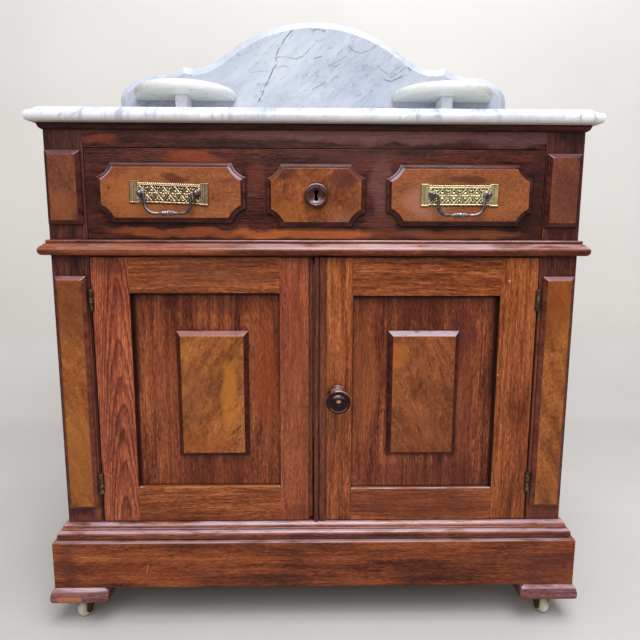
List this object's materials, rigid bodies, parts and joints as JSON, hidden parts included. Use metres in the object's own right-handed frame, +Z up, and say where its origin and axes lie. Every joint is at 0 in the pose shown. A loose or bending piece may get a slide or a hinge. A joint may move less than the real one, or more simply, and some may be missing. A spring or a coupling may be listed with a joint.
{
  "type": "washstand",
  "caption": "Walnut washstand with a marble top, scrolled marble splashback and candle shelves; a long drawer over panelled cupboard doors, on small casters.",
  "frame": {"origin": "on the floor under the middle of the bounding box", "axes": "+X to the right as seen from the front, +Y to the back, +Z up; the doors and the drawer face -Y"},
  "size_m": [0.785, 0.429, 0.972],
  "materials": {
    "marble": "honed white marble with grey-blue veins",
    "walnut": "waxed walnut, worn at the edges",
    "turned_walnut": "dark polished turned walnut",
    "burl_walnut": "polished burl walnut veneer",
    "pine": "unfinished pine, darkened with age",
    "aged_brass": "dull aged brass",
    "dark_bronze": "oxidised brass, nearly black",
    "iron": "dark iron",
    "porcelain": "glazed cream porcelain"
  },
  "bodies": {
    "case": {"marble_top": "marble", "splashback": "marble", "candle_shelves": "marble", "shelf_brackets": "marble", "front_posts": "walnut", "back_posts": "walnut", "side_rails": "walnut", "side_panels": "walnut", "back_boards": "pine", "top_rails": "walnut", "middle_rails": "walnut", "cupboard_floor": "walnut", "drawer_runners": "pine", "door_stop": "pine", "top_moulding": "walnut", "waist_moulding": "walnut", "base_moulding": "walnut", "plinth": "walnut", "plinth_blocks": "pine", "feet": "walnut", "upper_post_blocks": "burl_walnut", "lower_post_blocks": "burl_walnut", "case_hinges": "aged_brass", "caster_plates": "aged_brass"},
    "drawer": {"drawer_front": "walnut", "drawer_sides": "pine", "drawer_back": "pine", "drawer_bottom": "pine", "drawer_left_block": "burl_walnut", "drawer_key_block": "burl_walnut", "drawer_right_block": "burl_walnut", "left_backplate": "aged_brass", "right_backplate": "aged_brass", "bail_studs": "dark_bronze", "stud_nuts": "iron", "keyhole_ring": "turned_walnut", "drawer_lock": "iron"},
    "lock_bolt": {"lock_bolt": "aged_brass"},
    "left_bail": {"left_bail": "dark_bronze"},
    "right_bail": {"right_bail": "dark_bronze"},
    "left_door": {"left_door_stiles": "walnut", "left_door_rails": "walnut", "left_door_panel": "walnut", "left_door_block": "burl_walnut", "left_door_hinges": "aged_brass"},
    "right_door": {"right_door_stiles": "walnut", "right_door_rails": "walnut", "right_door_panel": "walnut", "right_door_block": "burl_walnut", "right_door_hinges": "aged_brass", "astragal": "walnut", "door_knob": "turned_walnut"},
    "front_left_horn": {"front_left_horn": "aged_brass"},
    "front_left_wheel": {"front_left_wheel": "porcelain"},
    "front_right_horn": {"front_right_horn": "aged_brass"},
    "front_right_wheel": {"front_right_wheel": "porcelain"},
    "back_left_horn": {"back_left_horn": "aged_brass"},
    "back_left_wheel": {"back_left_wheel": "porcelain"},
    "back_right_horn": {"back_right_horn": "aged_brass"},
    "back_right_wheel": {"back_right_wheel": "porcelain"}
  },
  "joints": [
    {"name": "drawer_slide", "type": "slide", "parent": "case", "child": "drawer", "axis": [0, -1, 0], "range_m": [0, 0.26]},
    {"name": "lock_bolt_slide", "type": "slide", "parent": "drawer", "child": "lock_bolt", "axis": [0, 0, 1], "range_m": [0, 0.006]},
    {"name": "left_bail_swing", "type": "hinge", "parent": "drawer", "child": "left_bail", "pos_m": [-0.199, -0.1802, 0.63875], "axis": [-1, 0, 0], "range_deg": [0, 150]},
    {"name": "right_bail_swing", "type": "hinge", "parent": "drawer", "child": "right_bail", "pos_m": [0.1955, -0.1802, 0.63725], "axis": [-1, 0, 0], "range_deg": [0, 150]},
    {"name": "left_door_hinge", "type": "hinge", "parent": "case", "child": "left_door", "pos_m": [-0.3145, -0.1635, 0.356], "axis": [0, 0, -1], "range_deg": [0, 160]},
    {"name": "right_door_hinge", "type": "hinge", "parent": "case", "child": "right_door", "pos_m": [0.3145, -0.1635, 0.356], "axis": [0, 0, 1], "range_deg": [0, 160]},
    {"name": "front_left_swivel", "type": "hinge", "parent": "case", "child": "front_left_horn", "pos_m": [-0.3495, -0.143, 0.034], "axis": [0, 0, 1], "continuous": true},
    {"name": "front_left_spin", "type": "hinge", "parent": "front_left_horn", "child": "front_left_wheel", "pos_m": [-0.35427, -0.15063, 0.013], "axis": [0.848, -0.5299, 0], "continuous": true},
    {"name": "front_right_swivel", "type": "hinge", "parent": "case", "child": "front_right_horn", "pos_m": [0.3495, -0.143, 0.034], "axis": [0, 0, 1], "continuous": true},
    {"name": "front_right_spin", "type": "hinge", "parent": "front_right_horn", "child": "front_right_wheel", "pos_m": [0.35316, -0.15122, 0.013], "axis": [0.9135, 0.4067, 0], "continuous": true},
    {"name": "back_left_swivel", "type": "hinge", "parent": "case", "child": "back_left_horn", "pos_m": [-0.3495, 0.1615, 0.034], "axis": [0, 0, 1], "continuous": true},
    {"name": "back_left_spin", "type": "hinge", "parent": "back_left_horn", "child": "back_left_wheel", "pos_m": [-0.354, 0.16929, 0.013], "axis": [-0.866, -0.5, 0], "continuous": true},
    {"name": "back_right_swivel", "type": "hinge", "parent": "case", "child": "back_right_horn", "pos_m": [0.3495, 0.1615, 0.034], "axis": [0, 0, 1], "continuous": true},
    {"name": "back_right_spin", "type": "hinge", "parent": "back_right_horn", "child": "back_right_wheel", "pos_m": [0.35258, 0.16996, 0.013], "axis": [-0.9397, 0.342, 0], "continuous": true}
  ]
}
